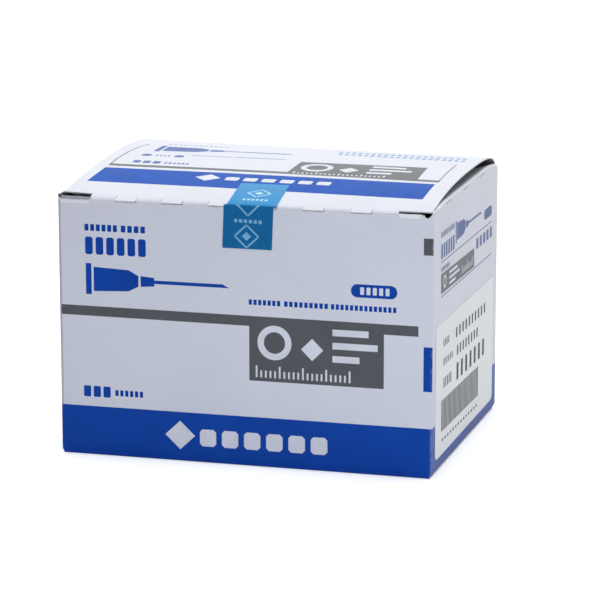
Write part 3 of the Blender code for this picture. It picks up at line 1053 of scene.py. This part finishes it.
    def print_lid(self) -> None:
        """Prints the lid: a blue band, a drawn needle and lines in a grey frame with a block."""
        stamp = partial(self.print_on, self.lid, self.skin.side(self.lid))
        stamp("lid_blue_print", LID_BLUE_INK, Marks.strip(
            [(4.5, 15.4), (45.0, 15.1), (76.0, 13.9), (116.5, 12.2)],
            [(5.1, 31.4), (45.0, 31.6), (76.0, 31.1), (116.5, 29.5)],
        ))
        stamp("lid_grey_print", LID_GREY_INK, [
            *Marks.path([(5.2, 35.1), (33.0, 35.4), (60.0, 35.4), (88.0, 34.7), (117.0, 33.2)], 2.5),
            *Marks.path([(5.4, 35.0), (5.1, 43.0), (5.5, 53.7), (6.3, 62.3), (7.8, 68.4)], 0.5),
            *Marks.path([(116.7, 32.9), (116.5, 44.6), (116.2, 61.5)], 0.4),
            [(65.8, 36.3), (109.5, 34.7), (108.5, 53.4), (66.1, 51.9)],
        ])
        stamp("lid_line_print", LID_LINE_INK, [
            *Marks.leaning(Marks.needle(13.2, 60.6, 56.4, 66.7), 0.05, 13.2),
            Marks.pill(11.3, 48.6, 14.8, 51.8),
            Marks.pill(22.6, 48.9, 26.0, 52.1),
            *Marks.dashes(11.6, 21.0, 3, 0.74, 39.0, 42.2, 0.3),
            *Marks.dashes(22.4, 30.9, 6, 0.66, 39.6, 41.4, 0.2),
            *Marks.dashes(16.2, 21.2, 4, 0.6, 49.6, 50.9),
        ])
        stamp("lid_light_print", LIGHT_BLUE_INK, [
            *Marks.leaning(Marks.row(((28.0, 42.0), (43.0, 60.0)), 52.3, 53.3), 0.05, 28.0),
            *Marks.dashes(73.0, 116.8, 20, 0.62, 73.2, 76.2),
            *Marks.dashes(74.0, 117.2, 20, 0.62, 68.4, 71.4),
            *Marks.leaning(Marks.dashes(14.2, 35.0, 12, 0.66, 69.4, 70.8), 0.05, 14.2),
        ])
        stamp("lid_open_shapes", PALE_INK, [
            *Marks.ring(73.6, 44.4, 5.4, 1.9),
            Marks.lozenge(84.6, 43.0, 3.4, 3.6),
            *Marks.stack(91.0, 105.0, 39.6, 50.8),
            *Marks.ruler(68.0, 98.0, 35.2, 37.6, 20, 0.6),
            Marks.lozenge(42.3, 25.3, 4.3, 3.7),
            *Marks.leaning(Marks.dashes(48.3, 83.6, 6, 0.74, 23.2, 27.0, 0.5), -0.02, 48.3),
        ], layer=2)

    def print_end(self) -> None:
        """Prints the right end above its label: a drawn needle, fine rules, lines and a grey block, with
        painted shade beside the perforations.
        """
        stamp = partial(self.print_on, self.right, self.skin.side(self.right))
        stamp("end_line_print", LINE_INK, [
            *Marks.needle(31.0, 70.0, 69.4, 76.6),
            *Marks.dashes(10.5, 20.6, 6, 0.66, 74.9, 76.7),
            *Marks.dashes(21.6, 29.2, 4, 0.66, 74.9, 76.7),
            *Marks.dashes(10.6, 29.4, 6, 0.7, 68.0, 72.8, 0.4),
            Marks.pill(74.1, 69.3, 86.4, 72.8),
            Marks.bar((10.9, 67.1), (86.5, 67.1), self.rule_width),
            Marks.bar((11.4, 56.0), (86.6, 56.0), self.rule_width),
            *Marks.dashes(62.1, 86.8, 5, 0.62, 61.8, 65.4, 0.3),
            *Marks.dashes(11.0, 22.4, 6, 0.66, 63.9, 65.4),
        ])
        # Short strips of painted shade beside the perforations, whose nicks are too fine to cast it.
        shades = []
        for start in self.perforations:
            height = self.end_fold_height + self.end_fold_slope * start
            end = (start + self.perforation_length, height + self.perforation_rise)
            shades.append(Marks.bar((start, height), end, self.perforation_width))
        stamp("perforation_shades", FOLD_SHADE, shades)
        stamp("end_grey_print", LID_GREY_INK, [[(10.8, 57.0), (59.2, 56.6), (58.9, 62.9), (10.7, 63.4)]])
        stamp("end_open_shapes", PALE_INK, [
            *Marks.ring(16.2, 60.2, 2.2, 0.85),
            *Marks.stack(22.4, 37.0, 57.9, 62.2),
            *Marks.ruler(41.0, 56.6, 57.8, 60.8, 10, 0.5),
        ], layer=2)


@dataclass
class SealTape:
    """The strip of printed film that seals the lid to the front."""

    carton: FoldedCarton
    lean: float = 0.3
    line_width: float = 0.55
    heart_share: float = 0.4

    def build(self) -> None:
        """Builds the strip and its pale lozenges."""
        skin = Skin("seal_tape")
        front, lid = self.carton.front, self.carton.lid
        skin.sink(skin.outer_face(front.outward), INK_THICKNESS)
        motif = Print("tape_motif")
        motif.stamp(skin.side(front, self.lean), front, [
            *self.lozenge_ring(62.9, 74.4, 3.9, 3.6),
            *Marks.leaning(Marks.dashes(58.9, 67.9, 6, 0.66, 78.8, 79.9), -0.03, 58.9),
            *Marks.path([(59.7, 84.6), (63.4, 81.0), (67.1, 84.6)], self.line_width),
        ])
        motif.stamp(skin.side(lid, self.lean), lid, [
            *self.lozenge_ring(63.9, 10.7, 3.8, 3.6),
            *Marks.dashes(60.2, 68.4, 6, 0.66, 4.0, 5.4),
        ])
        motif.finish(TAPE_MOTIF.material(), Slot.FILM)
        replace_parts(make_piece("sealing_strip", skin.shape, [TAPE_FILM.material()]), "seal_tape")

    def lozenge_ring(self, x: float, y: float, half_width: float, half_height: float) -> list[Outline]:
        """Draws a lozenge in outline, with a small solid one in its middle.

        Args:
            x: The middle's place along the panel.
            y: The middle's place up the panel.
            half_width: Half of its width.
            half_height: Half of its height.

        Returns:
            The four sides and the solid lozenge.
        """
        corners = Marks.lozenge(x, y, half_width, half_height)
        return [*Marks.path(corners + corners[:1], self.line_width),
                Marks.lozenge(x, y, half_width * self.heart_share, half_height * self.heart_share)]


@dataclass
class DataLabel:
    """The paper sticker on the right end, with generic rows and plain bars."""

    carton: FoldedCarton
    slope: float = -math.tan(math.radians(1.0))

    def build(self) -> None:
        """Builds the sticker and its black print."""
        skin, panel = Skin("data_label"), self.carton.right
        skin.sink(skin.outer_face(panel.outward), INK_THICKNESS)
        black = Print("label_print")
        black.stamp(skin.side(panel), panel, Marks.leaning([
            *Marks.dashes(14.5, 22.3, 4, 0.5, 39.7, 42.0),
            *Marks.dashes(32.4, 76.7, 10, 0.42, 39.1, 42.4),
            *Marks.dashes(14.8, 27.7, 5, 0.45, 33.6, 35.8),
            *Marks.dashes(34.0, 65.2, 8, 0.42, 33.0, 36.2),
            *Marks.dashes(15.0, 26.1, 5, 0.5, 26.2, 29.4),
            *Marks.dashes(33.7, 75.5, 7, 0.42, 24.8, 30.4),
            *Marks.dashes(12.3, 66.5, 30, 0.66, 12.5, 22.6),
            *Marks.dashes(13.4, 65.2, 14, 0.42, 9.1, 10.0),
        ], self.slope))
        black.finish(self.carton.ink(BLACK_INK), Slot.LABEL)
        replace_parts(make_piece("paper_label", skin.shape, [LABEL_PAPER.material()]), "data_label")


@dataclass(frozen=True)
class Lamp:
    """A soft square lamp, out of the camera's sight and out of reflections."""

    name: str
    place: tuple[float, float, float]
    aim: tuple[float, float, float]
    size: float
    watts: float
    colour: Colour

    def hang(self) -> None:
        """Hangs the lamp."""
        data = bpy.data.lights.new(self.name, "AREA")
        data.size = self.size
        data.energy = self.watts
        data.color = self.colour
        lamp = bpy.data.objects.new(self.name, data)
        bpy.context.scene.collection.objects.link(lamp)
        lamp.location = self.place
        lamp.rotation_euler = (Vector(self.aim) - Vector(self.place)).to_track_quat("-Z", "Y").to_euler()
        lamp.visible_camera = False
        lamp.visible_glossy = False


LAMPS = (
    Lamp("top_lamp", (-0.06, 0.06, 1.5), (0, 0, 0.05), 1.3, 19.4, (0.98, 1.0, 0.96)),
    Lamp("side_lamp", (0.75, 0.45, 0.28), (0.06, 0.02, 0.04), 0.4, 1.35, (1.0, 0.95, 0.84)),
    Lamp("front_lamp", (0.09, -0.22, 0.02), (0.06, -0.05, 0.02), 0.16, 0.085, (0.82, 0.88, 1.0)),
)
CAMERA_PLACE = (
    (0.962315, -0.055488, 0.266215, 0.253440),
    (0.271936, 0.198774, -0.941562, -0.877998),
    (-0.000671, 0.978473, 0.206372, 0.236945),
    (0, 0, 0, 1),
)


@dataclass(frozen=True)
class Studio:
    """The floor, the plain soft light and the camera."""

    lens: float = 169.0
    sensor_width: float = 36.0
    clip: tuple[float, float] = (0.01, 50.0)
    floor_half: float = 6.0
    floor_drop: float = 0.00005
    floor_colour: Colour = (0.80, 0.81, 0.83)
    glow_reach: tuple[float, float] = (0.2, 0.9)
    glow_strength: tuple[float, float] = (0.46, 0.80)
    sky_colour: Colour = (0.78, 0.81, 1.0)
    sky_strength: float = 0.33

    def build(self) -> None:
        """Builds the stage round the carton."""
        self.place_camera()
        self.lay_floor()
        self.light_sky()
        for lamp in LAMPS:
            lamp.hang()

    def place_camera(self) -> None:
        """Makes the camera at the photograph's place."""
        data = bpy.data.cameras.new("camera")
        data.lens = self.lens
        data.sensor_width = self.sensor_width
        data.clip_start, data.clip_end = self.clip
        camera = bpy.data.objects.new("camera", data)
        bpy.context.scene.collection.objects.link(camera)
        camera.matrix_world = Matrix(CAMERA_PLACE)
        bpy.context.scene.camera = camera

    def lay_floor(self) -> None:
        """Lays a plain white floor that keeps the carton's shadow."""
        shape = bmesh.new()
        bmesh.ops.create_grid(shape, x_segments=1, y_segments=1, size=self.floor_half)
        bmesh.ops.translate(shape, verts=shape.verts[:], vec=(0, 0, -self.floor_drop))
        mesh = bpy.data.meshes.new("floor")
        shape.to_mesh(mesh)
        shape.free()
        mesh.materials.append(self.floor_material())
        floor = bpy.data.objects.new("floor", mesh)
        bpy.context.scene.collection.objects.link(floor)

    def floor_material(self) -> bpy.types.Material:
        """Builds the floor's matt white, brighter to the camera the further it is from the carton.

        Returns:
            The material.
        """
        nodes = SurfaceNodes("white_floor")
        distance = nodes.add("ShaderNodeVectorMath")
        distance.operation = "LENGTH"
        nodes.link(nodes.place, distance.inputs[0])
        far = nodes.span(distance.outputs["Value"], self.glow_reach, self.glow_strength)
        seen = nodes.add("ShaderNodeLightPath").outputs["Is Camera Ray"]
        matt, glow, both = (nodes.add(kind) for kind in (
            "ShaderNodeBsdfDiffuse", "ShaderNodeEmission", "ShaderNodeAddShader"))
        matt.inputs["Color"].default_value = (*self.floor_colour, 1)
        nodes.link(nodes.maths("MULTIPLY", seen, far), glow.inputs["Strength"])
        nodes.link(matt.outputs[0], both.inputs[0])
        nodes.link(glow.outputs[0], both.inputs[1])
        nodes.link(both.outputs[0], nodes.output.inputs["Surface"])
        return nodes.owner

    def light_sky(self) -> None:
        """Lights the scene evenly, and shows white to the camera and in gloss."""
        world = bpy.data.worlds.new("studio")
        nodes = Nodes(world, "ShaderNodeOutputWorld")
        path = nodes.add("ShaderNodeLightPath")
        share = path.outputs["Is Camera Ray"]
        for name in ("Is Glossy Ray", "Is Transmission Ray"):
            share = nodes.maths("MAXIMUM", share, path.outputs[name])
        mix = nodes.add("ShaderNodeMixShader")
        nodes.link(share, mix.inputs["Fac"])
        for place, colour, strength in ((1, self.sky_colour, self.sky_strength), (2, (1, 1, 1), 1)):
            light = nodes.add("ShaderNodeBackground")
            light.inputs["Color"].default_value = (*colour, 1)
            light.inputs["Strength"].default_value = strength
            nodes.link(light.outputs[0], mix.inputs[place])
        nodes.link(mix.outputs[0], nodes.output.inputs["Surface"])
        bpy.context.scene.world = world


def main() -> None:
    """Builds the stage and the dressed carton."""
    logging.basicConfig(level=logging.INFO, format="%(message)s")
    bpy.context.scene.view_settings.view_transform = "Standard"
    Studio().build()
    carton = FoldedCarton()
    carton.build()
    SealTape(carton).build()
    DataLabel(carton).build()


if __name__ == "__main__":
    main()
